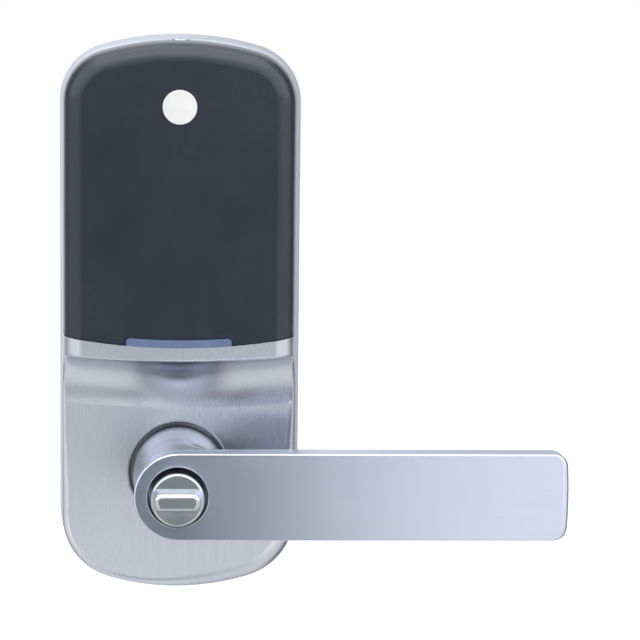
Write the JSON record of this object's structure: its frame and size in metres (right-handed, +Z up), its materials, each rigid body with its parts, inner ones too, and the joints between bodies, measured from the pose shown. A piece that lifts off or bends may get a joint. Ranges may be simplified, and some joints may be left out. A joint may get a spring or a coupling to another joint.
{
  "type": "electronic lever lock indoor unit",
  "caption": "Indoor half of an electronic door lock: metal escutcheon, plastic battery cover with status light bar, and a sprung lever with a privacy turn button.",
  "frame": {"origin": "on the lever's axis at the door's face, midway between the two door bolts", "axes": "+X along the lever arm, +Z up, -Y into the room, +Y into the door"},
  "size_m": [0.151, 0.115, 0.1715],
  "materials": {
    "brushed_casting": "satin nickel, fine vertical brushing",
    "brushed_lever": "satin nickel, brushed along the arm",
    "polished_button": "bright nickel, polished",
    "plated_steel": "zinc plated, dull",
    "screw_steel": "nickel plated screw heads",
    "black_screw": "black oxide",
    "spring_steel": "bare spring wire, lightly oiled",
    "contact_nickel": "bright nickel contacts",
    "can_aluminium": "drawn can",
    "cover_plastic": "satin slate black, fine texture",
    "tray_plastic": "moulded, matt",
    "black_nylon": "moulded nylon",
    "socket_plastic": "natural nylon",
    "button_plastic": "moulded, satin",
    "module_plastic": "moulded, satin",
    "chip_epoxy": "moulded epoxy",
    "board_laminate": "green solder mask",
    "led_resin": "clear resin",
    "light_window": "translucent blue-grey, frosted",
    "badge_enamel": "white enamel, plain",
    "cell_wrap": "plain two-tone wrap",
    "lead_red": "soft insulation",
    "lead_black": "soft insulation",
    "gasket_rubber": "closed-cell foam",
    "hold_foam": "open foam, soft"
  },
  "bodies": {
    "escutcheon": {"escutcheon_body": "brushed_casting", "door_gasket": "gasket_rubber", "mounting_plate": "plated_steel", "body_screws": "screw_steel", "lever_bushing": "plated_steel", "spring_cage": "plated_steel", "cage_screws": "screw_steel", "return_spring": "spring_steel", "battery_tray": "tray_plastic", "tray_screws": "screw_steel", "battery_1": "cell_wrap", "battery_2": "cell_wrap", "battery_3": "cell_wrap", "battery_4": "cell_wrap", "battery_springs": "contact_nickel", "contact_plates": "contact_nickel", "circuit_board": "board_laminate", "board_screws": "screw_steel", "board_chips": "chip_epoxy", "capacitors": "can_aluminium", "buzzer": "chip_epoxy", "harness_socket": "socket_plastic", "socket_pins": "contact_nickel", "battery_socket": "socket_plastic", "battery_plug": "socket_plastic", "battery_lead_red": "lead_red", "battery_lead_black": "lead_black", "module_header": "chip_epoxy", "radio_module": "module_plastic", "reset_switch": "chip_epoxy", "status_led": "led_resin", "status_light_window": "light_window"},
    "lever": {"lever_handle": "brushed_lever", "lever_spindle": "plated_steel", "lever_set_screw": "black_screw", "spring_cam": "plated_steel"},
    "turn_button_body": {"turn_button": "polished_button", "turn_shaft": "plated_steel", "turn_clip": "spring_steel"},
    "cover": {"battery_cover": "cover_plastic", "cover_badge": "badge_enamel", "battery_hold_pad": "hold_foam"},
    "cover_screw_body": {"cover_screw": "screw_steel"},
    "reset_button_body": {"reset_button": "button_plastic"}
  },
  "joints": [
    {"name": "lever_turn", "type": "hinge", "parent": "escutcheon", "child": "lever", "pos_m": [0, 0, 0], "axis": [0, 1, 0], "range_deg": [-50, 50], "stiffness_Nm_per_rad": 1.6, "springref_deg": -3.44, "deforming": ["return_spring"]},
    {"name": "button_turn", "type": "hinge", "parent": "lever", "child": "turn_button_body", "pos_m": [0, 0, 0], "axis": [0, 1, 0], "range_deg": [0, 90]},
    {"name": "cover_pull", "type": "slide", "parent": "escutcheon", "child": "cover", "axis": [0, -1, 0], "range_m": [0, 0.035]},
    {"name": "cover_screw_turn", "type": "hinge", "parent": "cover", "child": "cover_screw_body", "pos_m": [0, -0.021, 0.125], "axis": [0, 0, 1], "continuous": true},
    {"name": "reset_press", "type": "slide", "parent": "escutcheon", "child": "reset_button_body", "axis": [0, 1, 0], "range_m": [0, 0.0003], "stiffness_N_per_m": 800}
  ]
}
